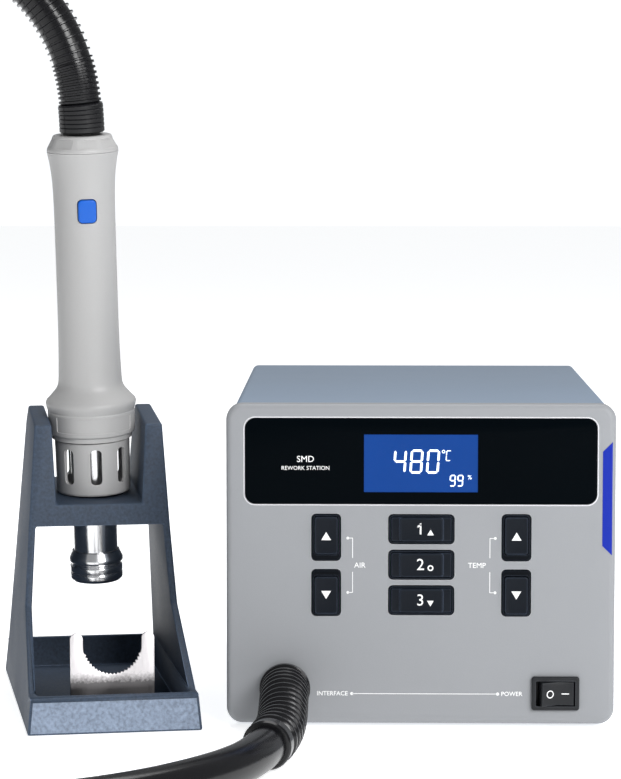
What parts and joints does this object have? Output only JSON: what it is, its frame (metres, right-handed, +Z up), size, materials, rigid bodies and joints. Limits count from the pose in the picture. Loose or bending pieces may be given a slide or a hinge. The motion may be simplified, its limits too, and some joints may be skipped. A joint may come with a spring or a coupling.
{
  "type": "hot air rework station",
  "caption": "Bench hot-air rework station: box-shaped main unit with display and keys, pen-style hot-air gun in a tray stand, and the air hose joining them.",
  "frame": {"origin": "bottom centre of the box around main unit, stand and gun, without the hose and its boots", "axes": "+Z up, +Y from the front panel towards the back of the main unit, +X to the right seen from the front"},
  "size_m": [0.4194, 0.435, 0.358],
  "materials": {
    "warm_grey": "fine satin mould texture",
    "blue_grey": "fine-textured powder coat",
    "stand_blue": "granular mould texture",
    "gloss_black": "polished",
    "lcd_blue": "lit display behind glass",
    "black_plastic": "satin",
    "key_black": "satin gloss",
    "rubber": "satin",
    "steel": "turned and polished",
    "white_plastic": "moulded",
    "circuit_board": "solder mask",
    "aluminium": "extruded",
    "core_iron": "varnished",
    "blue_button": "satin gloss",
    "ceramic": "fired",
    "mica": "wrapped sheet"
  },
  "bodies": {
    "root": {"air_down_key_frame": "key_black", "air_duct": "rubber", "air_hose": "rubber", "air_up_key_frame": "key_black", "blower_cover": "black_plastic", "blower_housing": "black_plastic", "blower_motor": "steel", "channel_1_key_frame": "key_black", "channel_2_key_frame": "key_black", "channel_3_key_frame": "key_black", "chassis_tray": "blue_grey", "cover_screw_1": "steel", "cover_screw_2": "steel", "cover_screw_3": "steel", "cover_screw_4": "steel", "display_window": "gloss_black", "front_bezel": "warm_grey", "front_board": "circuit_board", "fuse_holder": "black_plastic", "heat_sink": "aluminium", "hose_gland": "black_plastic", "lcd_module": "lcd_blue", "main_board": "circuit_board", "mains_inlet": "black_plastic", "nozzle_rest_plate": "steel", "power_switch_body": "black_plastic", "rear_panel": "blue_grey", "rubber_foot_1": "rubber", "rubber_foot_2": "rubber", "rubber_foot_3": "rubber", "rubber_foot_4": "rubber", "stand_body": "stand_blue", "station_hose_boot": "rubber", "temp_down_key_frame": "key_black", "temp_up_key_frame": "key_black", "top_cover": "blue_grey", "transformer": "core_iron"},
    "gun": {"handle_shell_front": "warm_grey", "handle_shell_back": "warm_grey", "tail_cap": "warm_grey", "slotted_sleeve": "warm_grey", "outlet_tube": "steel", "heater_core": "ceramic", "mica_wrap": "mica", "gun_switch_board": "circuit_board", "gun_hose_boot": "rubber"},
    "air_up_key": {"air_up_key": "key_black"},
    "air_down_key": {"air_down_key": "key_black"},
    "temp_up_key": {"temp_up_key": "key_black"},
    "temp_down_key": {"temp_down_key": "key_black"},
    "channel_1_key": {"channel_1_key": "key_black"},
    "channel_2_key": {"channel_2_key": "key_black"},
    "channel_3_key": {"channel_3_key": "key_black"},
    "power_rocker": {"power_rocker": "black_plastic"},
    "blower_impeller": {"blower_impeller": "white_plastic"},
    "gun_button": {"gun_button": "blue_button"},
    "nozzle": {"nozzle": "steel"}
  },
  "joints": [
    {"name": "gun_lift", "type": "slide", "parent": "root", "child": "gun", "axis": [-0.0167, -0.1006, 0.9948], "range_m": [0, 0.1], "deforming": ["air_hose"]},
    {"name": "gun_button_press", "type": "slide", "parent": "gun", "child": "gun_button", "axis": [-0.1847, 0.9781, 0.0958], "range_m": [0, 0.0008], "stiffness_N_per_m": 400},
    {"name": "nozzle_pull", "type": "slide", "parent": "gun", "child": "nozzle", "axis": [0.0167, 0.1006, -0.9948], "range_m": [0, 0.02]},
    {"name": "air_up_key_press", "type": "slide", "parent": "root", "child": "air_up_key", "axis": [0, 1, 0], "range_m": [0, 0.0012], "stiffness_N_per_m": 400},
    {"name": "air_down_key_press", "type": "slide", "parent": "root", "child": "air_down_key", "axis": [0, 1, 0], "range_m": [0, 0.0012], "stiffness_N_per_m": 400},
    {"name": "temp_up_key_press", "type": "slide", "parent": "root", "child": "temp_up_key", "axis": [0, 1, 0], "range_m": [0, 0.0012], "stiffness_N_per_m": 400},
    {"name": "temp_down_key_press", "type": "slide", "parent": "root", "child": "temp_down_key", "axis": [0, 1, 0], "range_m": [0, 0.0012], "stiffness_N_per_m": 400},
    {"name": "channel_1_key_press", "type": "slide", "parent": "root", "child": "channel_1_key", "axis": [0, 1, 0], "range_m": [0, 0.0012], "stiffness_N_per_m": 400},
    {"name": "channel_2_key_press", "type": "slide", "parent": "root", "child": "channel_2_key", "axis": [0, 1, 0], "range_m": [0, 0.0012], "stiffness_N_per_m": 400},
    {"name": "channel_3_key_press", "type": "slide", "parent": "root", "child": "channel_3_key", "axis": [0, 1, 0], "range_m": [0, 0.0012], "stiffness_N_per_m": 400},
    {"name": "power_rocker_tilt", "type": "hinge", "parent": "root", "child": "power_rocker", "pos_m": [0.11696, -0.09909, 0.0157], "axis": [0, 0, 1], "range_deg": [-24, 0]},
    {"name": "blower_spin", "type": "hinge", "parent": "root", "child": "blower_impeller", "pos_m": [0.02676, 0.02391, 0.02], "axis": [0, 0, 1], "continuous": true}
  ]
}
